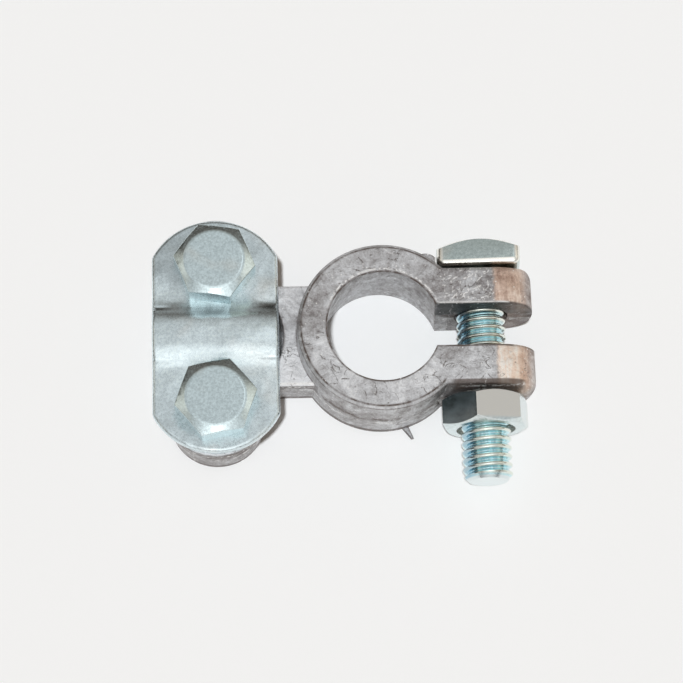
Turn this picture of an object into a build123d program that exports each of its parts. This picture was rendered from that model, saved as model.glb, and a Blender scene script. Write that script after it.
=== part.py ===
from build123d import *
import math
import os

# Battery terminal clamp, in millimetres.
# The origin is on the axis of the post bore, at the underside of the casting.
# +X points to the jaws, -X to the cable strap, +Z out of the bore's narrow end.

INCH = 25.4

# Cast lead body: ring, jaws, neck and cable saddle are one casting
body_height = 14.6
bore_top_diameter = 18.0
post_taper = 1 / 9
ring_radius = 13.85
ring_draft = 1.5
ring_edge_chamfer = 0.55

# Jaws, one on each side of the slit, widest at the parting line
slit_width = 6.8
jaw_bearing = 10.25
jaw_land = 1.6
jaw_draft = 6.0
jaw_reach = 24.5
jaw_end_radius = 6.3
jaw_corner_round = 2.0
jaw_root_round = 2.5
jaw_top_round = 0.9
jaw_hole_clearance = 0.4

# Lug on the ring's shoulder that keeps the square head from turning
stop_angle = 55.5
stop_radius = 2.0
stop_reach = 14.7
stop_drop = 1.6
seat_clearance = 0.35

# Burr left on the ring's lower edge by the mould's flash
burr_angle = -76.0
burr_length = 2.1
burr_base = 1.5
burr_lean = 0.9
burr_tip = 0.4
burr_thickness = 0.6

# Neck between the ring and the saddle
neck_half_width = 8.4
neck_draft = 4.0
neck_edge_chamfer = 0.35

# Saddle: two bosses and the web between them, with the cable groove across it
saddle_height = 10.1
saddle_x = -26.7
boss_radius = 8.45
boss_draft = 4.0
groove_radius = 5.0
groove_wall = 1.9
groove_end_radius = 10.0

# Cable bolts, screwed down into the bosses
cable_bolt_spacing = 22.5
cable_bolt_diameter = INCH / 4
cable_bolt_length = INCH * 3 / 8
cable_head_flats = 11.5
cable_head_height = INCH * 11 / 64
cable_head_bevel = 0.82
cable_tip_chamfer = 0.8
cable_bolts = {"cable_bolt_front": (-1, 10.0), "cable_bolt_rear": (1, 52.0)}
thread_fit = 0.05

# Cable strap, pressed from sheet, with an arch over the cable that starts clear of the turning heads
strap_thickness = 1.5
strap_width = 20.2
strap_length = 38.6
strap_end_radius = 11.3
strap_hole_clearance = 0.4
arch_rise = 1.3
arch_root_round = 2.5
arch_clearance = 0.04
strap_edge_chamfer = 0.4

# Clamp bolt with a square head
clamp_axis_x = 16.2
clamp_axis_z = body_height / 2
clamp_bolt_diameter = INCH * 5 / 16
clamp_bolt_length = 34.25
clamp_tip_chamfer = 0.9
clamp_head_flats = 13.4
clamp_head_height = 4.25
clamp_head_round = 1.2
clamp_head_under_round = 1.1
clamp_head_turn = -5.0

# Clamp nut
nut_flats = 12.6
nut_height = 5.3
nut_bevel = 0.95
nut_corner_angle = 46.0
nut_countersink = 0.7

BEVEL_ANGLE = 30.0
TOUCH = 0.01


def bevelled(outline, touch_radius, reach, height, both_ends=False):
    """Prism on the outline from z=0 up, its corners turned off by a shallow cone."""
    drop = (reach - touch_radius) * math.tan(math.radians(BEVEL_ANGLE))
    foot = [(touch_radius, 0), (reach, drop)] if both_ends else [(reach, 0)]
    points = [(0, 0), *foot, (reach, height - drop), (touch_radius, height), (0, height)]
    blank = revolve(Plane.XZ * make_face(Polyline(*points, close=True)), Axis.Z)
    return extrude(outline, height) & blank


def shank(diameter, length, tip_chamfer):
    """Plain shank from z=0 down, with a chamfered tip."""
    body = Pos(0, 0, -length / 2) * Cylinder(diameter / 2, length)
    return chamfer(body.edges().sort_by(Axis.Z)[0], tip_chamfer)


def hexagon(flats, corner_angle):
    return RegularPolygon(flats / 2, 6, major_radius=False, rotation=corner_angle)


def is_circle(edge, radius):
    return edge.geom_type == GeomType.CIRCLE and abs(edge.radius - radius) < TOUCH


def make_jaws():
    """Both jaws in one block, drafted up and down from the parting line."""
    block = Pos(jaw_reach / 2, 0) * Rectangle(jaw_reach, 2 * jaw_bearing)
    corners = block.vertices().group_by(Axis.X)[-1]
    plan = fillet(corners, jaw_corner_round) + Circle(ring_radius)
    roots = [v for v in plan.vertices() if 0 < v.X < ring_radius and abs(abs(v.Y) - jaw_bearing) < TOUCH]
    plan = fillet(roots, jaw_root_round)
    land_low = (body_height - jaw_land) / 2
    land_high = land_low + jaw_land
    upper = extrude(Pos(0, 0, land_high) * plan, body_height - land_high, taper=jaw_draft)
    lower = extrude(Pos(0, 0, land_low) * plan, -land_low, taper=jaw_draft)
    middle = extrude(Pos(0, 0, land_low) * plan, jaw_land)
    side = Pos(0, body_height / 2) * Rectangle(2 * jaw_reach, body_height)
    side = fillet(side.vertices().group_by(Axis.X)[-1], jaw_end_radius)
    jaws = (upper + middle + lower) & extrude(Plane.XZ * side, ring_radius * 2, both=True)
    return fillet(jaws.edges().filter_by(GeomType.LINE).group_by(Axis.Z)[-1], jaw_top_round)


def make_ring():
    """Outer form of the ring, drafted up and down from the parting line, with its stop lug and burr."""
    parting = body_height / 2
    end_radius = ring_radius - parting * math.tan(math.radians(ring_draft))
    wall = [(end_radius, 0), (ring_radius, parting), (end_radius, body_height)]
    profile = Polyline((0, 0), *wall, (0, body_height), close=True)
    ring = revolve(Plane.XZ * make_face(profile), Axis.Z)
    ring = chamfer(ring.edges().group_by(Axis.Z)[-1], ring_edge_chamfer)
    lug_centre = Rot(0, 0, stop_angle) * Pos(stop_reach - stop_radius, 0)
    lug = extrude(lug_centre * Circle(stop_radius), body_height - stop_drop)
    tip = end_radius + burr_length
    outline = Polyline(
        (end_radius - burr_base, -burr_base / 2),
        (tip, burr_lean),
        (tip, burr_lean + burr_tip),
        (end_radius - burr_base, burr_base / 2),
        close=True,
    )
    burr = extrude(Rot(0, 0, burr_angle) * make_face(outline), burr_thickness)
    return ring + lug + burr


def make_saddle():
    """Neck, bosses and web, drafted inwards towards the underside."""
    neck_plan = Pos(saddle_x / 2, 0) * Rectangle(-saddle_x, 2 * neck_half_width)
    neck = extrude(Pos(0, 0, saddle_height) * neck_plan, -saddle_height, taper=neck_draft)
    neck = chamfer(neck.edges().filter_by(Axis.X).group_by(Axis.Z)[-1], neck_edge_chamfer)
    boss_plan = Pos(saddle_x, 0) * SlotCenterToCenter(cable_bolt_spacing, 2 * boss_radius, rotation=90)
    bosses = extrude(Pos(0, 0, saddle_height) * boss_plan, -saddle_height, taper=boss_draft)
    return neck + bosses


def groove_tool():
    """The cable groove: half round, open at the left, with a curved end wall."""
    end_x = -(ring_radius + groove_wall)
    far_x = 2 * saddle_x
    bar = Pos(0, 0, saddle_height) * Rot(0, 90, 0) * Cylinder(groove_radius, -2 * far_x)
    plan = Pos(end_x - groove_end_radius, 0) * Circle(groove_end_radius)
    open_end = Pos(far_x / 2 + end_x / 2 - groove_end_radius / 2, 0) * Rectangle(
        end_x - groove_end_radius - far_x, 2 * groove_end_radius
    )
    return bar & extrude(plan + open_end, 2 * saddle_height)


def seat_tools():
    """Clears the ring away beside the square head and round the turning nut."""
    turn = math.radians(abs(clamp_head_turn))
    flat = clamp_head_flats / 2 - clamp_head_round
    swing = flat * (math.cos(turn) + math.sin(turn)) + clamp_head_round
    head_left = clamp_axis_x - swing - seat_clearance
    depth = ring_radius
    head_seat = Pos(head_left, jaw_bearing, 0) * Box(
        2 * jaw_reach, depth, 2 * body_height, align=(Align.MIN, Align.MIN, Align.CENTER)
    )
    nut_radius = nut_flats / math.sqrt(3) + seat_clearance
    nut_seat = Plane(origin=(clamp_axis_x, -jaw_bearing, clamp_axis_z), z_dir=(0, -1, 0)) * Cylinder(
        nut_radius, depth, align=(Align.CENTER, Align.CENTER, Align.MIN)
    )
    return head_seat + nut_seat


def make_body():
    bore_bottom_radius = (bore_top_diameter + body_height * post_taper) / 2
    bore = Pos(0, 0, body_height / 2) * Cone(bore_bottom_radius, bore_top_diameter / 2, body_height)
    slit = Box(2 * jaw_reach, slit_width, 3 * body_height, align=(Align.MIN, Align.CENTER, Align.CENTER))
    jaw_hole_radius = clamp_bolt_diameter / 2 + jaw_hole_clearance
    jaw_hole = Pos(clamp_axis_x, 0, clamp_axis_z) * Rot(90, 0, 0) * Cylinder(jaw_hole_radius, 4 * jaw_bearing)
    body = make_ring() + make_jaws() + make_saddle()
    body = body - seat_tools() - bore - slit - jaw_hole - groove_tool()
    for side, _ in cable_bolts.values():
        hole_radius = cable_bolt_diameter / 2 + thread_fit
        body -= Pos(saddle_x, side * cable_bolt_spacing / 2) * Cylinder(hole_radius, 3 * body_height)
    return body


def make_strap():
    """Rounded plate on the saddle, pressed up into an arch along the groove."""
    reach = cable_bolt_spacing / 2 - cable_head_flats / math.sqrt(3) - arch_clearance
    outer_radius = (reach**2 + arch_rise**2) / (2 * arch_rise) - arch_root_round
    inner_radius = outer_radius - strap_thickness
    centre = Pos(0, arch_rise - inner_radius)
    sheet = Pos(0, strap_thickness / 2) * Rectangle(2 * strap_length, strap_thickness)
    above = Pos(0, strap_length / 2) * Rectangle(2 * strap_length, strap_length)
    section = sheet + (centre * Circle(outer_radius) & above) - centre * Circle(inner_radius)
    for level, radius in ((strap_thickness, arch_root_round), (0, arch_root_round + strap_thickness)):
        roots = [v for v in section.vertices() if abs(v.Y - level) < TOUCH and abs(v.X) < outer_radius]
        section = fillet(roots, radius)
    bar = extrude(Plane.YZ * section, strap_width, both=True)
    ends = SlotCenterToCenter(strap_length - 2 * strap_end_radius, 2 * strap_end_radius, rotation=90)
    plan = ends & Rectangle(strap_width, strap_length)
    strap = bar & extrude(plan, 2 * saddle_height)
    across = strap.edges().filter_by(Axis.X, reverse=True)
    rim = [e for e in across if e.bounding_box().min.Z > strap_thickness - TOUCH]
    strap = chamfer(rim, strap_edge_chamfer)
    hole_radius = cable_bolt_diameter / 2 + strap_hole_clearance
    for side, _ in cable_bolts.values():
        strap -= Pos(0, side * cable_bolt_spacing / 2) * Cylinder(hole_radius, 4 * saddle_height)
    return Pos(saddle_x, 0, saddle_height) * strap


def make_cable_bolt(side, corner_angle):
    """Hex-head screw, axis up, its head on the strap."""
    bevel_radius = cable_head_bevel * cable_head_flats / 2
    outline = hexagon(cable_head_flats, corner_angle)
    head = bevelled(outline, bevel_radius, cable_head_flats / math.sqrt(3), cable_head_height)
    screw = head + shank(cable_bolt_diameter, cable_bolt_length, cable_tip_chamfer)
    seat = saddle_height + strap_thickness
    return Pos(saddle_x, side * cable_bolt_spacing / 2, seat) * screw


def make_clamp_bolt():
    """Square-head bolt through both jaws, its head behind the rear jaw."""
    outline = RectangleRounded(clamp_head_flats, clamp_head_flats, clamp_head_round)
    reach = clamp_head_flats / math.sqrt(2)
    head = bevelled(outline, clamp_head_flats / 2, reach, clamp_head_height)
    head = fillet(head.edges().group_by(Axis.Z)[0], clamp_head_under_round)
    bolt = head + shank(clamp_bolt_diameter, clamp_bolt_length, clamp_tip_chamfer)
    place = Plane(origin=(clamp_axis_x, jaw_bearing, clamp_axis_z), x_dir=(1, 0, 0), z_dir=(0, 1, 0))
    return place * Rot(0, 0, clamp_head_turn) * bolt


def make_clamp_nut():
    """Hex nut on the clamp bolt, against the front jaw."""
    outline = hexagon(nut_flats, nut_corner_angle)
    nut = bevelled(outline, nut_bevel * nut_flats / 2, nut_flats / math.sqrt(3), nut_height, both_ends=True)
    hole_radius = clamp_bolt_diameter / 2 + thread_fit
    nut -= Cylinder(hole_radius, 4 * nut_height)
    nut = chamfer(nut.edges().filter_by(lambda e: is_circle(e, hole_radius)), nut_countersink)
    place = Plane(origin=(clamp_axis_x, -jaw_bearing, clamp_axis_z), x_dir=(1, 0, 0), z_dir=(0, -1, 0))
    return place * nut


def write(node, shape):
    export_step(shape.solid(), f"parts/{node}.step")


os.makedirs("parts", exist_ok=True)
write("clamp_body", make_body())
write("cable_strap", make_strap())
for name, (side, corner_angle) in cable_bolts.items():
    write(name, make_cable_bolt(side, corner_angle))
write("clamp_bolt", make_clamp_bolt())
write("clamp_nut", make_clamp_nut())
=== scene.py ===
import math
from types import SimpleNamespace

import bmesh
import bpy
from mathutils import Matrix, Vector


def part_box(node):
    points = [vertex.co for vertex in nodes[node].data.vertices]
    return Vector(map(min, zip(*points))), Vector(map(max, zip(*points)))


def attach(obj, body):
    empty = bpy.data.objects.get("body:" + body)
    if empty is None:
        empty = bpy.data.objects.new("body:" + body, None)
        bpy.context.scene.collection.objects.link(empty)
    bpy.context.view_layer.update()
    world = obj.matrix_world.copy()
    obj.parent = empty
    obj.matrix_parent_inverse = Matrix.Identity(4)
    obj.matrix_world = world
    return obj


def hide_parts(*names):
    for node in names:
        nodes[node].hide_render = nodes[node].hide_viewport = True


MM = 0.001
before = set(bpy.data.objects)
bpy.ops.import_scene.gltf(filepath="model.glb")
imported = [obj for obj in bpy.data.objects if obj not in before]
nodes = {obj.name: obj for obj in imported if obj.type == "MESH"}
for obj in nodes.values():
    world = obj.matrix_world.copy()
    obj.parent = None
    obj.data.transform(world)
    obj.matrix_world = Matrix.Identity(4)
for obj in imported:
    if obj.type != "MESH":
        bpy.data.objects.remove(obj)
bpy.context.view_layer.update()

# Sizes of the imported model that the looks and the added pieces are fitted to, in millimetres.
# The bore's axis is at X = Y = 0, the jaws are at +X, the square head at +Y, the underside at Z = 0.
BODY_TOP = 14.6
PARTING = BODY_TOP / 2
RING_RADIUS = 13.85
BORE_TOP_RADIUS = 9.0
SLIT_SIDE = 3.4
SADDLE_TOP = 10.1
STRAP_TOP = 11.6
STRAP_MIDDLE = -26.7
JAW_BEARING = 10.25
CROWN_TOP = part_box("cable_bolt_rear")[1][2] / MM

# The clamp bolt's axis: its X and Z
CLAMP_AXIS = (16.2, PARTING)

# Each bolt's shank, plain up to the given length below the head
CLAMP_BOLT = {"radius": 3.969, "length": 34.25, "pitch": 1.4111, "chamfer": 0.9, "plain": 1.5}
CABLE_BOLT = {"radius": 3.175, "length": 9.525, "pitch": 1.27, "chamfer": 0.8, "plain": 1.2}

# Each cable bolt's CAD body and its place along Y
CABLE_BOLT_SIDES = {
    "cable_bolt_front": ("front_screw", -11.25),
    "cable_bolt_rear": ("rear_screw", 11.25),
}

# Roundings that the solids leave out, in millimetres
EDGE_ROUND = 0.14
CROWN_ROUND = 0.42
STRAP_ROUND = 0.28
LEAD_ROUND = 0.16

# Where the roots of the strap's arch are drawn by bump, out from the middle
DRAWN_ROOT = 3.85

# In degrees: facets closer than the first are one flat, and a head's edges above the second are rounded
FLAT_ANGLE = 0.6
EDGE_ANGLE = 15

# Margins, in millimetres, for telling a head from its shank and its crown from its sides
HEAD_MARGIN = 0.05
CROWN_MARGIN = 0.02

# Rolled threads: facets round the shank and along one pitch, and depth as a share of the pitch
AROUND = 96
PER_PITCH = 18
THREAD_DEPTH = 0.47

# The photograph's camera, its place in millimetres and its picture's right and up
CAMERA_LENS = 110.69
CAMERA_AT = (-19.5274, -97.8951, 331.8984)
CAMERA_RIGHT = (0.9990840, -0.0290899, 0.0313833)
CAMERA_UP = (0.0188121, 0.9573045, 0.2884686)

# Where the key light comes from, how strong and how wide in degrees it is
KEY_FROM = (-0.085, -0.225, 1.0)
KEY_STRENGTH = 2.50
KEY_WIDTH = 3

# Directions in which the metal sees the brightest of the room
BRIGHT_SIDE = (0.0, -0.751, 0.660)
BRIGHT_SPOT = (0.221, 0.283, 0.932)

# The floor's half width and its gap below the part, in metres
FLOOR_REACH = 3.0
FLOOR_GAP = 0.00005


# ---------------------------------------------------------------- materials
class Graph:
    """A short way to write a node tree."""

    def __init__(self, tree):
        self.tree = tree
        self.tree.nodes.clear()

    def node(self, kind, inputs=None, **settings):
        made = self.tree.nodes.new(kind)
        for key, value in settings.items():
            setattr(made, key, value)
        for key, value in (inputs or {}).items():
            self.feed(made.inputs[key], value)
        return made

    def feed(self, socket, value):
        if isinstance(value, bpy.types.NodeSocket):
            self.tree.links.new(value, socket)
        elif isinstance(value, (tuple, list)) and len(value) == 3 and socket.type == "RGBA":
            socket.default_value = (*value, 1)
        else:
            socket.default_value = value

    def math(self, operation, a, b=0.0):
        return self.node("ShaderNodeMath", {0: a, 1: b}, operation=operation).outputs[0]

    def chain(self, operation, *values):
        result = values[0]
        for value in values[1:]:
            result = self.math(operation, result, value)
        return result

    def times(self, *values):
        return self.chain("MULTIPLY", *values)

    def plus(self, *values):
        return self.chain("ADD", *values)

    def most(self, *values):
        return self.chain("MAXIMUM", *values)

    def less(self, a, b):
        return self.math("SUBTRACT", a, b)

    def size(self, value):
        return self.math("ABSOLUTE", value)

    def axes(self, vector):
        return self.node("ShaderNodeSeparateXYZ", {"Vector": vector}).outputs

    def dot(self, a, b):
        return self.node("ShaderNodeVectorMath", {0: a, 1: b}, operation="DOT_PRODUCT").outputs["Value"]

    def span(self, value, low, high, to_low=0.0, to_high=1.0, kind="SMOOTHSTEP"):
        """Takes low to to_low and high to to_high; low may be the larger of the two."""
        made = self.node(
            "ShaderNodeMapRange",
            {"Value": value, "From Min": low, "From Max": high, "To Min": to_low, "To Max": to_high},
            interpolation_type=kind,
        )
        return made.outputs[0]

    def bell(self, value, centre, width):
        """1 at centre, falling off to 0 a few widths away."""
        away = self.math("DIVIDE", self.less(value, centre), width)
        return self.math("EXPONENT", self.times(away, away, -1.0))

    def ramp(self, value, stops):
        made = self.node("ShaderNodeValToRGB", {"Fac": value})
        elements = made.color_ramp.elements
        while len(elements) < len(stops):
            elements.new(0.5)
        for element, (place, colour) in zip(elements, stops):
            element.position = place
            element.color = (*colour, 1)
        return made.outputs["Color"]

    def mix(self, share, a, b, blend="MIX"):
        made = self.node("ShaderNodeMix", data_type="RGBA", blend_type=blend)
        self.feed(made.inputs["Factor"], share)
        self.feed(made.inputs[6], a)
        self.feed(made.inputs[7], b)
        return made.outputs[2]

    def shaded(self, colour, level):
        """The colour times a level of grey."""
        level = self.node("ShaderNodeCombineColor", {0: level, 1: level, 2: level}).outputs[0]
        return self.mix(1.0, colour, level, "MULTIPLY")

    def place(self, scale=(1000, 1000, 1000), turn=(0, 0, 0), shift=(0, 0, 0)):
        """Object coordinates in millimetres, turned and stretched."""
        coord = self.node("ShaderNodeTexCoord").outputs["Object"]
        turned = self.node("ShaderNodeMapping", {"Vector": coord, "Rotation": turn}).outputs[0]
        inputs = {"Vector": turned, "Scale": scale, "Location": shift}
        return self.node("ShaderNodeMapping", inputs).outputs[0]

    def true_normal(self):
        return self.node("ShaderNodeNewGeometry").outputs["True Normal"]

    def noise(self, vector, scale, detail=3.0, roughness=0.5, distortion=0.0):
        inputs = {"Vector": vector, "Scale": scale, "Detail": detail, "Roughness": roughness}
        made = self.node("ShaderNodeTexNoise", {**inputs, "Distortion": distortion})
        return made.outputs["Fac"]

    def dots(self, vector, scale, channel, chance, edge):
        """Round spots, in those cells alone whose random colour passes chance; edge is where they fade."""
        cell = self.node("ShaderNodeTexVoronoi", {"Vector": vector, "Scale": scale})
        draw = self.node("ShaderNodeSeparateColor", {"Color": cell.outputs["Color"]}).outputs[channel]
        return self.times(self.span(draw, *chance), self.span(cell.outputs["Distance"], *edge))

    def strokes(self, vector, scale, length, width, lean, spread, share):
        """Short straight marks in the plane of X and Y, one at most in each cell; angles in degrees."""
        inputs = {"Vector": vector, "Scale": scale}
        cell = self.node("ShaderNodeTexVoronoi", inputs, voronoi_dimensions="2D")
        chance = self.node("ShaderNodeSeparateColor", {"Color": cell.outputs["Color"]}).outputs
        offset = self.node(
            "ShaderNodeVectorMath", {0: vector, 1: cell.outputs["Position"]}, operation="SUBTRACT"
        )
        least, greatest = math.radians(lean - spread), math.radians(lean + spread)
        angle = self.span(chance[0], 0.0, 1.0, least, greatest, "LINEAR")
        turned = self.node(
            "ShaderNodeVectorRotate",
            {"Vector": offset.outputs[0], "Angle": angle},
            rotation_type="Z_AXIS",
        )
        along, across, _ = self.axes(turned.outputs[0])
        return self.times(
            self.span(self.size(across), width * 0.5, width * 0.2),
            self.span(self.size(along), length * 0.5, length * 0.3),
            self.math("GREATER_THAN", chance[1], 1.0 - share),
        )

    def bump(self, height):
        """A normal from a height in millimetres."""
        made = self.node("ShaderNodeBump", {"Height": height, "Distance": MM, "Strength": 1.0})
        return made.outputs[0]


def new_material(name):
    material = bpy.data.materials.new(name)
    material.use_nodes = True
    graph = Graph(material.node_tree)
    shader = graph.node("ShaderNodeBsdfPrincipled")
    out = graph.node("ShaderNodeOutputMaterial")
    graph.tree.links.new(shader.outputs[0], out.inputs["Surface"])
    return material, graph, shader


def lead_fields(g):
    """Places, noises and masks that the marks on the casting are built from."""
    at = g.place()
    x, y, z = g.axes(at)
    drawn = g.place((1000, 1000, 650))
    middle = g.noise(drawn, 0.85, 6, 0.68, 0.4)
    radius = g.math("SQRT", g.plus(g.times(x, x), g.times(y, y)))
    angle = g.math("ARCTAN2", g.times(y, -1.0), g.times(x, -1.0))
    polar = g.node(
        "ShaderNodeCombineXYZ", {0: g.times(angle, 13.0), 1: g.times(radius, 0.20), 2: g.times(z, 0.6)}
    )
    wobble = g.times(g.less(g.noise(at, 0.20, 3, 0.55), 0.5), 4.5)
    shaken = g.node("ShaderNodeTexNoise", {"Vector": at, "Scale": 0.9}).outputs["Color"]
    return SimpleNamespace(
        at=at,
        x=x,
        y=y,
        z=z,
        radius=radius,
        line_z=g.plus(z, wobble),
        wander=g.node("ShaderNodeVectorMath", {0: at, 1: shaken}).outputs[0],
        broad=g.noise(drawn, 0.24, 4, 0.60, 0.8),
        middle=middle,
        fine=g.noise(drawn, 3.6, 4, 0.70),
        smear=g.noise(polar.outputs[0], 0.75, 4, 0.60, 0.5),
        bits=g.noise(at, 1.9, 2, 0.5),
        dirt_and_shade_patches=g.span(middle, 0.36, 0.52),
        wall=g.span(g.size(g.axes(g.true_normal())[2]), 0.60, 0.25),
        top=g.span(z, BODY_TOP - 0.4, BODY_TOP - 0.2),
        on_ring=g.span(x, 9.8, 9.2),
        behind=g.times(g.span(radius, RING_RADIUS - 0.1, RING_RADIUS + 0.1), g.span(x, -8.0, -10.0)),
        outside=g.most(g.span(radius, 13.0, 13.5), g.span(x, 9.0, 10.0)),
    )


def lead_grey_and_painted_shade(g, f):
    """The dull skin: dark and pale clouds, lighter towards the front and darker on the jaws, with painted
    light and shade: a dark patch on the ring's left, the neck's top lighter and its walls shifted, the walls
    darker and the ring's left outer wall lighter.
    """
    level = g.less(1.0, f.wall)
    on_ring_side = g.span(f.radius, RING_RADIUS + 0.1, RING_RADIUS - 0.1)
    tone = g.plus(
        g.times(f.broad, 0.38),
        g.times(f.middle, 0.26),
        g.times(f.smear, 0.16),
        g.times(f.fine, 0.20),
        g.span(f.y, 11.0, -12.0, 0.018, 0.072),
        g.times(g.span(f.x, 4.0, 10.0), -0.050),
        # painted shade and light from here on: a dark patch on the ring's left, the neck's top lighter, the
        # neck's walls shifted, all walls darker, the ring's left outer wall lighter
        g.times(g.bell(f.x, -11.8, 3.0), g.bell(f.y, 1.0, 7.0), -0.075),
        g.times(f.behind, level, g.span(f.y, 4.0, -8.0, 0.070, 0.110)),
        g.times(f.behind, f.wall, g.span(f.y, -7.0, -11.0, 0.030, -0.030)),
        g.times(f.wall, g.span(f.radius, 11.0, 12.0, -0.035, -0.095)),
        g.times(f.wall, g.span(f.x, -9.0, -12.0), on_ring_side, 0.100),
    )
    stops = [
        (0.34, (0.160, 0.142, 0.138)),
        (0.42, (0.320, 0.302, 0.302)),
        (0.485, (0.490, 0.484, 0.492)),
        (0.55, (0.660, 0.665, 0.682)),
        (0.64, (0.890, 0.897, 0.915)),
    ]
    return g.ramp(tone, stops)


def copper_bloom(g, f):
    """Where the jaws' ends have a coppery bloom, and its colour."""
    edge = g.plus(f.x, g.times(g.less(f.middle, 0.5), 1.2))
    bloom = g.times(
        g.span(edge, 17.4, 18.3),
        g.span(edge, 24.0, 21.8, 0.30, 1.0),
        g.span(f.z, 6.0, 12.5, 0.25, 1.0),
        g.span(f.y, 3.0, -3.0, 0.80, 1.0),
    )
    brushed = g.noise(g.place((1600, 160, 200)), 1.0, 3, 0.6)
    tone = g.plus(
        g.times(f.broad, 0.35),
        g.times(brushed, 0.30),
        g.times(f.middle, 0.20),
        g.times(f.fine, 0.15),
        g.times(g.bell(f.x, 19.4, 2.0), g.span(f.y, 2.0, -5.0), 0.090),
        g.span(f.y, 2.0, -2.0, -0.025, 0.020),
    )
    stops = [
        (0.38, (0.430, 0.270, 0.200)),
        (0.48, (0.730, 0.520, 0.400)),
        (0.56, (0.950, 0.770, 0.640)),
        (0.64, (1.000, 0.930, 0.850)),
    ]
    return bloom, g.ramp(tone, stops)


def scratches(g, f, bloom):
    """The deep scratches on the rear jaw, and with them all bright marks: light ones and specks too."""
    on_jaw = g.times(g.span(f.x, 8.5, 11.0), g.span(f.y, 2.0, 4.5), f.top, g.span(f.x, 18.6, 17.4))
    deep = g.strokes(f.wander, 0.70, length=1.7, width=0.30, lean=-38.0, spread=14.0, share=0.65)
    moved = g.place(shift=(0.7, 0.4, 0))
    crossing = g.strokes(moved, 1.6, length=0.60, width=0.26, lean=0.0, spread=90.0, share=0.50)
    scratch = g.times(g.most(deep, crossing), on_jaw, g.span(f.middle, 0.40, 0.60, 0.35, 1.0))
    light = g.strokes(f.wander, 0.30, length=3.0, width=0.22, lean=35.0, spread=50.0, share=0.45)
    light = g.times(light, g.span(f.fine, 0.42, 0.56), g.less(1.0, bloom), 0.45)
    speck = g.dots(f.at, 1.7, channel=0, chance=(0.80, 0.88), edge=(0.30, 0.12))
    return scratch, g.most(scratch, g.times(speck, 0.8), light)


def pour_marks(g, f):
    """Pits, thin folds and short cracks left by the pour."""
    moved = g.place(shift=(4, 9, 2))
    pit = g.dots(moved, 1.1, channel=1, chance=(0.84, 0.90), edge=(0.26, 0.12))
    folds_at = g.noise(g.place(turn=(0, 0, 0.4), shift=(2, 5, 3)), 0.30, 3, 0.5, 1.0)
    fold = g.times(g.bell(folds_at, 0.50, 0.007), g.span(f.smear, 0.50, 0.60))
    crack = g.strokes(f.wander, 0.50, length=1.6, width=0.26, lean=60.0, spread=80.0, share=0.30)
    return pit, fold, g.times(crack, g.span(f.fine, 0.42, 0.52), f.top)


def parting_line(g, f):
    """The mould's broken line round the outside: its ridge, the dirt above it and the gloss below it, which
    is also painted near white as a highlight.
    """
    ridge = g.times(g.bell(f.line_z, PARTING, 0.50), f.outside)
    patch = g.noise(f.at, 0.26, 4, 0.65)
    above = g.bell(f.line_z, PARTING + 0.9, 0.75)
    dirt = g.times(above, f.outside, g.span(patch, 0.40, 0.50), f.dirt_and_shade_patches)
    # a glossier band below the line, also painted near white as a highlight
    gloss_and_painted_highlight = g.times(
        g.bell(f.line_z, PARTING - 1.1, 0.50),
        f.outside,
        f.wall,
        g.span(patch, 0.42, 0.52),
        g.span(f.middle, 0.46, 0.56),
        0.75,
    )
    return ridge, dirt, gloss_and_painted_highlight


def painted_edge_and_foot_shade(g, f):
    """Painted shade: brown outlines at the edges, a brown foot on the front half, shade under the strap and
    on the ring's chamfer, and shade on the jaw's edge beside the nut.
    """
    # painted dark reflection: brown lines at the bore's lip, the ring's shoulder and hem, the slit's edge and
    # every sharp edge
    lip = g.times(g.bell(f.radius, BORE_TOP_RADIUS + 0.10, 0.17), f.top)
    shoulder = g.times(g.bell(f.radius, 13.12, 0.17), f.top, f.on_ring)
    hem = g.times(g.bell(f.z, BODY_TOP - 0.58, 0.14), g.span(f.radius, 13.3, 13.5), f.on_ring, 0.75)
    above = g.span(f.z, BODY_TOP - 0.6, BODY_TOP - 0.3)
    slit_lip = g.times(g.bell(f.y, -SLIT_SIDE - 0.15, 0.12), above, g.span(f.x, 8.0, 8.6))
    rounded = g.node("ShaderNodeBevel", {"Radius": 0.5 * MM}, samples=8).outputs[0]
    corner = g.times(g.span(g.dot(rounded, g.true_normal()), 0.985, 0.925), 0.75)
    broken = g.span(g.noise(f.at, 0.45, 4, 0.65), 0.40, 0.56, 0.55, 1.0)
    outline = g.times(g.most(lip, shoulder, hem, slit_lip, corner), broken)
    # painted contact shade along the foot of the walls, on the front half
    foot = g.times(g.span(f.z, 1.9, 1.2), f.wall, g.span(f.y, 2.0, -2.0), 0.90)
    # painted shade on the walls just under the strap
    under_strap = g.times(g.bell(f.z, SADDLE_TOP - 0.9, 0.9), f.behind, f.wall, f.dirt_and_shade_patches, 0.75)
    # painted dark reflection on the ring's top chamfer
    chamfer = g.span(f.z, BODY_TOP - 0.55, BODY_TOP - 0.45)
    rim = g.times(chamfer, g.span(f.radius, 13.0, 13.2), f.on_ring, 0.15)
    # painted shade on the front jaw's edge beside the nut
    beside_nut = g.times(g.span(f.x, 9.0, 11.5), g.span(f.x, 22.8, 21.5), g.span(f.z, 9.0, 12.0))
    painted_shade_by_nut = g.times(g.span(f.y, -8.85, -9.15), beside_nut, 0.85)
    return g.most(outline, foot, under_strap, rim, painted_shade_by_nut)


def slit_shade(g, f):
    """Shade on the upper half of the rear jaw's face in the slit."""
    behind_face = g.span(f.y, SLIT_SIDE + 0.5, SLIT_SIDE + 0.15)
    before_face = g.span(f.y, SLIT_SIDE - 0.4, SLIT_SIDE - 0.1)
    face = g.times(behind_face, before_face, g.span(f.x, 8.0, 9.0))
    return g.times(face, g.span(f.line_z, 8.0, 9.6), g.span(f.x, 24.0, 18.0, 0.5, 1.0), 0.93)


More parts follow.
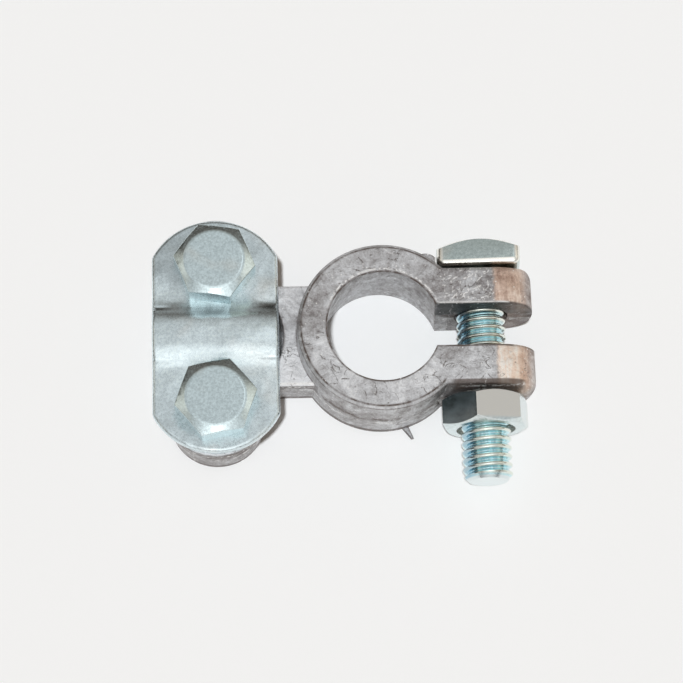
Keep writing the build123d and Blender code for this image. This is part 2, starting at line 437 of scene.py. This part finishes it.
def painted_edge_highlights(g, f):
    """Painted highlights on the edges: over the nut, beside the bore, along the slit, the neck and under the
    strap.
    """
    over_nut = g.times(g.span(f.y, -8.8, -9.0), g.span(f.x, 11.5, 13.0), g.span(f.x, 22.6, 21.4))
    glitter = g.times(g.bell(f.z, 12.9, 0.30), over_nut, g.span(f.bits, 0.42, 0.52))
    beside_bore = g.bell(f.radius, BORE_TOP_RADIUS + 0.48, 0.15)
    sparkle = g.times(beside_bore, f.top, g.span(f.y, 2.0, 6.0), g.span(f.bits, 0.44, 0.54))
    along_slit = g.times(g.span(f.x, 8.4, 9.2), g.span(f.x, 23.0, 19.0, 0.2, 1.0))
    slit_gleam = g.times(g.bell(f.y, SLIT_SIDE + 0.26, 0.13), f.top, along_slit, 0.85)
    on_neck = g.times(f.behind, g.less(1.0, f.wall))
    neck_gleam = g.times(g.bell(f.y, -8.0, 0.20), on_neck, g.span(f.bits, 0.30, 0.46, 0.5, 1.0))
    flecks = g.times(g.bell(f.z, SADDLE_TOP - 1.2, 0.35), f.behind, f.wall, g.span(f.bits, 0.50, 0.58), 0.9)
    return g.most(flecks, glitter, sparkle, slit_gleam, neck_gleam)


def lead_material():
    """Dull cast lead: smeared, pitted and scratched, with painted brown shade at the edges, the foot and
    under the strap, painted highlights, and copper on the jaws' ends.
    """
    material, g, shader = new_material("cast_lead")
    f = lead_fields(g)
    bloom, copper = copper_bloom(g, f)
    scratch, bright = scratches(g, f, bloom)
    pit, fold, crack = pour_marks(g, f)
    ridge, dirt, gloss_and_painted_highlight = parting_line(g, f)
    spots = g.most(g.times(pit, 0.45), g.times(fold, 0.80), g.times(crack, 0.75), g.times(dirt, 0.90))
    wear_and_painted_highlights = g.most(painted_edge_highlights(g, f), gloss_and_painted_highlight, g.times(bright, 0.85))
    colour = g.mix(bloom, lead_grey_and_painted_shade(g, f), copper)
    # dark brown for the pits, folds, cracks and dirt, and for the painted shade
    colour = g.mix(g.most(spots, painted_edge_and_foot_shade(g, f)), colour, (0.095, 0.066, 0.052))
    colour = g.mix(slit_shade(g, f), colour, (0.042, 0.048, 0.050))
    # near white for the scratches and specks and for the painted highlights
    g.feed(shader.inputs["Base Color"], g.mix(wear_and_painted_highlights, colour, (0.98, 0.97, 0.95)))
    shader.inputs["Metallic"].default_value = 0.50
    rough = g.less(g.span(f.middle, 0.3, 0.7, 0.50, 0.36), g.times(wear_and_painted_highlights, 0.16))
    g.feed(shader.inputs["Roughness"], rough)
    height = g.plus(
        g.times(f.broad, 0.50),
        g.times(f.middle, g.span(bloom, 0.2, 0.8, 0.22, 0.08)),
        g.times(f.smear, 0.16),
        g.times(f.fine, 0.045),
        g.times(scratch, -0.03),
        g.times(pit, -0.05),
        g.times(fold, -0.06),
        g.times(crack, -0.04),
        g.times(ridge, 0.16),
    )
    g.feed(shader.inputs["Normal"], g.bump(height))
    return material


def zinc_material(name, tint, warm, rough_low, rough_high, grain):
    """Bright zinc plating with a fine speckle.

    Returns the material, its graph and shader, the height of its grain and its colour.
    """
    material, g, shader = new_material(name)
    at = g.place()
    speckle = g.noise(at, grain, 3, 0.7)
    dust = g.noise(at, grain * 2.6, 2, 0.7)
    base = g.mix(g.span(g.noise(at, 0.11, 3, 0.5, 0.4), 0.50, 0.72), tint, warm)
    colour = g.shaded(base, g.span(speckle, 0.32, 0.68, 0.85, 1.09))
    g.feed(shader.inputs["Base Color"], colour)
    shader.inputs["Metallic"].default_value = 1.0
    g.feed(shader.inputs["Roughness"], g.span(speckle, 0.25, 0.75, rough_low, rough_high))
    height = g.plus(g.times(speckle, 0.010), g.times(dust, 0.004))
    g.feed(shader.inputs["Normal"], g.bump(height))
    return material, g, shader, height, colour


def painted_strap_shade(g, x, y):
    """How much painted shade darkens the strap's plating: towards both ends, and in the bend beside the rear
    bolt.
    """
    cloud = g.times(g.less(g.noise(g.place(), 0.16, 3, 0.5), 0.5), 5.0)
    along = g.plus(y, cloud)
    off_middle = g.size(g.plus(x, 26.0))
    return g.plus(
        g.times(g.span(along, 7.0, 10.0), g.span(x, -22.0, -31.0, 0.12, 0.30)),
        g.span(along, -8.0, -12.0, 0.0, 0.10),
        g.times(g.bell(y, 3.7, 1.4), g.span(off_middle, 2.0, 8.0, 0.34, 0.26)),
        g.times(g.bell(y, 4.6, 1.3), g.span(x, -21.5, -17.5, 0.0, 0.30)),
        g.times(g.bell(y, 3.7, 0.9), g.bell(x, -27.3, 3.0), 0.32),
    )


def strap_pressing(g, x, y, z):
    """Height on the strap's top: the arch's roots drawn soft, and the creases at its edges."""
    across = g.size(y)
    inner = g.math("DIVIDE", across, DRAWN_ROOT)
    inner = g.times(inner, inner)
    inner = g.times(inner, g.less(2.0, inner))
    beyond = g.math("GREATER_THAN", across, DRAWN_ROOT)
    outer = g.bell(across, DRAWN_ROOT, 1.2)
    drawn = g.node("ShaderNodeMix", {0: beyond, 2: inner, 3: outer}, data_type="FLOAT")
    left = g.span(x, -33.0, -36.5)
    right = g.span(x, -21.0, -17.2)
    creases = g.plus(
        g.times(g.bell(y, 4.55, 0.30), left, -0.16),
        g.times(g.bell(y, 5.1, 0.80), right, -0.30),
        g.times(g.bell(y, -4.05, 0.22), right, -0.10),
        g.times(g.bell(y, -4.3, 0.40), left, -0.10),
    )
    top = g.span(z, STRAP_TOP - 0.6, STRAP_TOP - 0.3)
    return g.times(g.plus(g.times(drawn.outputs[0], 0.45), creases), top)


def strap_material():
    """Zinc on pressed sheet, with painted shade."""
    material, g, shader, grain, colour = zinc_material(
        "strap_zinc",
        tint=(0.83, 0.940, 0.975),
        warm=(0.88, 0.930, 0.920),
        rough_low=0.24,
        rough_high=0.33,
        grain=2.4,
    )
    x, y, z = g.axes(g.place())
    # the strap's colour darkened by painted shade
    g.feed(shader.inputs["Base Color"], g.shaded(colour, g.less(1.0, painted_strap_shade(g, x, y))))
    waves = g.times(g.noise(g.place(), 0.17, 2, 0.5), 0.55)
    g.feed(shader.inputs["Normal"], g.bump(g.plus(grain, strap_pressing(g, x, y, z), waves)))
    return material


def square_material():
    """Zinc with dull flats and its rounded edges painted pale as a highlight."""
    material, g, shader, _, colour = zinc_material(
        "square_zinc",
        tint=(0.58, 0.665, 0.650),
        warm=(0.66, 0.680, 0.630),
        rough_low=0.16,
        rough_high=0.28,
        grain=2.2,
    )
    level = g.size(g.axes(g.true_normal())[2])
    # painted highlight on the rounded edges, picked by how they tilt
    painted_edge_light = g.times(g.span(level, 0.992, 0.975), g.span(level, 0.20, 0.42))
    g.feed(shader.inputs["Base Color"], g.mix(painted_edge_light, colour, (0.95, 0.94, 0.88)))
    return material


def thread_material():
    """Zinc, teal in the roots of the clamp bolt's thread, with a painted straw highlight on its crests and a
    painted dark blue reflection on its left side.

    The tints go by the clamp bolt's axis, so the cable bolts' threads are straw, with blue near the head.
    """
    material, g, shader, _, colour = zinc_material(
        "thread_zinc",
        tint=(0.60, 0.850, 0.900),
        warm=(0.74, 0.860, 0.850),
        rough_low=0.10,
        rough_high=0.20,
        grain=2.0,
    )
    x, y, z = g.axes(g.place())
    dx = g.less(x, CLAMP_AXIS[0])
    dz = g.less(z, CLAMP_AXIS[1])
    radius = g.math("SQRT", g.plus(g.times(dx, dx), g.times(dz, dz)))
    # painted highlight on the crests
    crest = g.times(g.span(radius, 3.55, 3.90), 0.75)
    # painted dark reflection on the left side
    side = g.times(g.span(dx, -1.7, -3.1), g.span(dz, -0.5, 0.5), 0.62)
    tip = g.times(g.span(y, -23.3, -23.6), g.span(radius, 3.6, 3.3))
    colour = g.mix(crest, colour, (0.93, 0.91, 0.80))
    colour = g.mix(side, colour, (0.22, 0.420, 0.560))
    g.feed(shader.inputs["Base Color"], g.mix(tip, colour, (0.78, 0.850, 0.860)))
    return material


def nut_material():
    """Zinc, with the upper left facet painted a dull teal as shade and the top facet painted a little warm as
    reflection.
    """
    material, g, shader, _, colour = zinc_material(
        "nut_zinc",
        tint=(0.71, 0.790, 0.795),
        warm=(0.78, 0.800, 0.770),
        rough_low=0.13,
        rough_high=0.22,
        grain=3.0,
    )
    normal = g.axes(g.node("ShaderNodeTexCoord").outputs["Normal"])
    y = g.axes(g.place())[1]
    # painted reflection: the top facet a little warm
    warm = g.times(g.span(normal[2], 0.90, 0.95), g.span(y, -15.2, -14.6))
    # painted shade: the upper left facet dull teal
    facet = g.times(g.span(normal[0], -0.60, -0.70), g.span(normal[2], 0.55, 0.65))
    painted_facet_shade = g.times(facet, g.span(y, -16.0, -11.5, 0.45, 0.90))
    colour = g.mix(warm, colour, (0.80, 0.775, 0.720))
    g.feed(shader.inputs["Base Color"], g.mix(painted_facet_shade, colour, (0.14, 0.200, 0.220)))
    return material


lead = lead_material()
strap_zinc = strap_material()
nut_zinc = nut_material()
bolt_zinc, *_ = zinc_material(
    "bolt_zinc",
    tint=(0.735, 0.860, 0.885),
    warm=(0.80, 0.855, 0.830),
    rough_low=0.14,
    rough_high=0.24,
    grain=2.6,
)
thread_zinc = thread_material()
square_zinc = square_material()


# ---------------------------------------------------------------- geometry
def dress(node, material, width_mm, segments, angle):
    """Gives a CAD node its material and rounds its sharp edges by modifiers; its own mesh stays."""
    obj = nodes[node]
    obj.data.materials.clear()
    obj.data.materials.append(material)
    weld = obj.modifiers.new("weld", "WELD")
    weld.merge_threshold = 0.000002
    flat = obj.modifiers.new("flat", "DECIMATE")
    flat.decimate_type = "DISSOLVE"
    flat.angle_limit = math.radians(FLAT_ANGLE)
    flat.delimit = {"NORMAL"}
    bevel = obj.modifiers.new("edges", "BEVEL")
    bevel.width = width_mm * MM
    bevel.segments = segments
    bevel.limit_method = "ANGLE"
    bevel.angle_limit = math.radians(angle)
    bevel.harden_normals = True
    bevel.use_clamp_overlap = True


def thread_profile(phase, depth):
    """Depth below the crest of a rolled thread, phase 0 to 1 over one pitch."""
    wave = 0.5 + 0.5 * math.cos(2 * math.pi * phase)
    return depth * wave**1.25


def thread_point(spec, turned, level):
    """A point of the thread's surface: turned is 0 to 1 round the shank, level its height."""
    pitch, radius, length = spec["pitch"], spec["radius"], spec["length"]
    fade = min(max((level - spec["plain"]) / pitch, 0), 1)
    reach = radius - fade * thread_profile((level / pitch - turned) % 1, THREAD_DEPTH * pitch)
    reach = min(reach, radius - spec["chamfer"] + (length - level))
    angle = 2 * math.pi * turned
    return Vector((reach * math.cos(angle), reach * math.sin(angle), level))


def threaded_shank(spec, place):
    """A rolled thread on a shank that runs along +Z of place, from 0 to its length."""
    pitch, length = spec["pitch"], spec["length"]
    steps = int(math.ceil(length / pitch + 2) * PER_PITCH)
    mesh = bmesh.new()
    columns = []
    for i in range(AROUND):
        turned = i / AROUND
        levels = [min(max((k / PER_PITCH - 1 + turned) * pitch, 0), length) for k in range(steps + 1)]
        columns.append([mesh.verts.new(place @ thread_point(spec, turned, level) * MM) for level in levels])
    for i, here in enumerate(columns):
        # past the last column the thread has climbed one pitch
        lag = PER_PITCH if i + 1 == AROUND else 0
        there = columns[(i + 1) % AROUND]
        for k in range(steps - lag):
            mesh.faces.new((here[k], there[k + lag], there[k + 1 + lag], here[k + 1]))
    bmesh.ops.remove_doubles(mesh, verts=mesh.verts, dist=1e-8)
    open_edges = [e for e in mesh.edges if e.is_boundary]
    bmesh.ops.holes_fill(mesh, edges=open_edges, sides=0)
    bmesh.ops.recalc_face_normals(mesh, faces=mesh.faces)
    return mesh


def head_of(node, keep):
    """A copy of the faces of a CAD node's head, cleaned of its triangulation."""
    mesh = bmesh.new()
    mesh.from_mesh(nodes[node].data)
    gone = [f for f in mesh.faces if not keep(f.calc_center_median() / MM)]
    bmesh.ops.delete(mesh, geom=gone, context="FACES")
    bmesh.ops.remove_doubles(mesh, verts=mesh.verts, dist=1e-6)
    bmesh.ops.dissolve_limit(
        mesh,
        angle_limit=math.radians(FLAT_ANGLE),
        verts=mesh.verts,
        edges=mesh.edges,
        use_dissolve_boundaries=False,
    )
    return mesh


def piece_from(name, mesh, material, body, node, smooth_angle):
    """An object made from a mesh, riding on a body in the place of a CAD node."""
    data = bpy.data.meshes.new(name)
    mesh.to_mesh(data)
    mesh.free()
    obj = bpy.data.objects.new(name, data)
    bpy.context.scene.collection.objects.link(obj)
    data.materials.append(material)
    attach(obj, body)
    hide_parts(node)
    data.shade_smooth()
    data.set_sharp_from_angle(angle=math.radians(smooth_angle))
    return obj


def soften(head, crown):
    """Rounds a head's edges, those of its crown's circle the most."""
    mesh = bmesh.new()
    mesh.from_mesh(head.data)
    weight = mesh.edges.layers.float.new("bevel_weight_edge")
    for edge in mesh.edges:
        if len(edge.link_faces) == 2 and edge.calc_face_angle() > math.radians(EDGE_ANGLE):
            edge[weight] = 1.0 if all(crown(v.co / MM) for v in edge.verts) else EDGE_ROUND / CROWN_ROUND
    mesh.to_mesh(head.data)
    mesh.free()
    bevel = head.modifiers.new("edges", "BEVEL")
    bevel.width = CROWN_ROUND * MM
    bevel.segments = 4
    bevel.limit_method = "WEIGHT"
    bevel.harden_normals = True


def add_bolt(node, body, spec, place, head_zinc, keep_head, crown):
    """Puts a rounded head and a threaded shank in the place of a CAD bolt."""
    head = piece_from(node + "_head", head_of(node, keep_head), head_zinc, body, node, smooth_angle=20)
    soften(head, crown)
    shank = threaded_shank(spec, place)
    piece_from(node + "_thread", shank, thread_zinc, body, node, smooth_angle=40)


def add_clamp_bolt():
    middle = Matrix.Translation((CLAMP_AXIS[0], JAW_BEARING, CLAMP_AXIS[1]))
    place = middle @ Matrix.Rotation(math.pi / 2, 4, "X")
    add_bolt(
        "clamp_bolt",
        "bolt",
        CLAMP_BOLT,
        place,
        square_zinc,
        keep_head=lambda point: point.y > JAW_BEARING - HEAD_MARGIN,
        crown=lambda point: False,
    )


def add_cable_bolt(node, body, side):
    place = Matrix.Translation((STRAP_MIDDLE, side, STRAP_TOP)) @ Matrix.Rotation(math.pi, 4, "X")
    add_bolt(
        node,
        body,
        CABLE_BOLT,
        place,
        bolt_zinc,
        keep_head=lambda point: point.z > STRAP_TOP - HEAD_MARGIN,
        crown=lambda point: point.z > CROWN_TOP - CROWN_MARGIN,
    )


add_clamp_bolt()
for name, (body, side) in CABLE_BOLT_SIDES.items():
    add_cable_bolt(name, body, side)
dress("clamp_nut", nut_zinc, EDGE_ROUND, segments=2, angle=20)
dress("cable_strap", strap_zinc, STRAP_ROUND, segments=3, angle=15)
dress("clamp_body", lead, LEAD_ROUND, segments=2, angle=22)


# ---------------------------------------------------------------- stage, light, camera
def add_floor():
    data = bpy.data.meshes.new("floor")
    signs = ((-1, -1), (1, -1), (1, 1), (-1, 1))
    corners = [(sx * FLOOR_REACH, sy * FLOOR_REACH, 0) for sx, sy in signs]
    data.from_pydata(corners, [], [(0, 1, 2, 3)])
    floor = bpy.data.objects.new("floor", data)
    bpy.context.scene.collection.objects.link(floor)
    floor.location.z = -FLOOR_GAP
    paper, _, shader = new_material("paper")
    shader.inputs["Base Color"].default_value = (0.94, 0.94, 0.935, 1)
    shader.inputs["Roughness"].default_value = 0.7
    shader.inputs["Specular IOR Level"].default_value = 0.3
    data.materials.append(paper)


def reflected_room(g):
    """What the metal reflects: dark behind, pale in front and above, cream far out to both sides."""
    direction = g.node("ShaderNodeTexCoord").outputs["Generated"]
    sideways, away, upward = g.axes(direction)
    toward = g.dot(direction, BRIGHT_SIDE)
    stops = [
        (0.00, (0.15, 0.130, 0.115)),
        (0.20, (0.17, 0.145, 0.125)),
        (0.34, (0.25, 0.235, 0.220)),
        (0.55, (0.53, 0.530, 0.520)),
        (0.71, (0.60, 0.605, 0.610)),
        (0.82, (0.67, 0.675, 0.680)),
        (0.91, (1.06, 1.065, 1.065)),
        (0.98, (1.10, 1.100, 1.100)),
    ]
    seen = g.ramp(g.span(toward, -1.0, 1.0, kind="LINEAR"), stops)
    beside = g.size(sideways)
    cream = g.mix(1.0, seen, (1.55, 1.47, 1.34), "MULTIPLY")
    seen = g.mix(g.span(beside, 0.62, 0.84), seen, cream)
    west = g.times(g.span(sideways, -0.50, -0.80), g.span(upward, 0.46, 0.34))
    flank = g.times(g.span(beside, 0.28, 0.55), g.span(away, 0.0, -0.25))
    strength = g.times(
        g.span(toward, 0.975, 0.995, 1.0, 2.0),
        g.span(sideways, -0.6, 0.6, 0.90, 1.06),
        g.span(upward, 0.02, 0.42, 0.42, 1.0),
        g.span(west, 0.0, 1.0, 1.0, 0.30),
        g.span(g.dot(direction, BRIGHT_SPOT), 0.984, 0.997, 1.0, 1.9),
        g.span(flank, 0.0, 1.0, 1.0, 0.66),
    )
    return g.node("ShaderNodeBackground", {"Color": seen, "Strength": strength})


def make_world():
    """White to the camera, a reflected room to the metal, and a soft warm fill to the rest."""
    world = bpy.data.worlds.new("studio")
    bpy.context.scene.world = world
    world.use_nodes = True
    g = Graph(world.node_tree)
    room = reflected_room(g)
    white = g.node("ShaderNodeBackground", {"Color": (1.0, 1.0, 1.0), "Strength": 1.0})
    soft = g.node("ShaderNodeBackground", {"Color": (1.0, 0.81, 0.64), "Strength": 0.20})
    ray = g.node("ShaderNodeLightPath").outputs
    lit = g.node("ShaderNodeMixShader", {0: ray["Is Glossy Ray"], 1: soft.outputs[0], 2: room.outputs[0]})
    clear = g.most(ray["Is Camera Ray"], ray["Is Transmission Ray"])
    shown = g.node("ShaderNodeMixShader", {0: clear, 1: lit.outputs[0], 2: white.outputs[0]})
    out = g.node("ShaderNodeOutputWorld")
    g.tree.links.new(shown.outputs[0], out.inputs["Surface"])


def add_key_light():
    data = bpy.data.lights.new("key", "SUN")
    data.energy = KEY_STRENGTH
    data.angle = math.radians(KEY_WIDTH)
    data.color = (0.965, 1.005, 1.04)
    key = bpy.data.objects.new("key", data)
    bpy.context.scene.collection.objects.link(key)
    key.rotation_euler = Vector(KEY_FROM).to_track_quat("Z", "Y").to_euler()
    key.visible_glossy = False


def add_camera():
    data = bpy.data.cameras.new("camera")
    data.sensor_width = 36
    data.lens = CAMERA_LENS
    data.clip_start = 0.01
    camera = bpy.data.objects.new("camera", data)
    bpy.context.scene.collection.objects.link(camera)
    right, up = Vector(CAMERA_RIGHT), Vector(CAMERA_UP)
    place = Matrix((right, up, right.cross(up))).transposed().to_4x4()
    place.translation = Vector(CAMERA_AT) * MM
    camera.matrix_world = place
    bpy.context.scene.camera = camera


add_floor()
make_world()
add_key_light()
add_camera()
bpy.context.scene.view_settings.view_transform = "Standard"

bpy.context.view_layer.update()
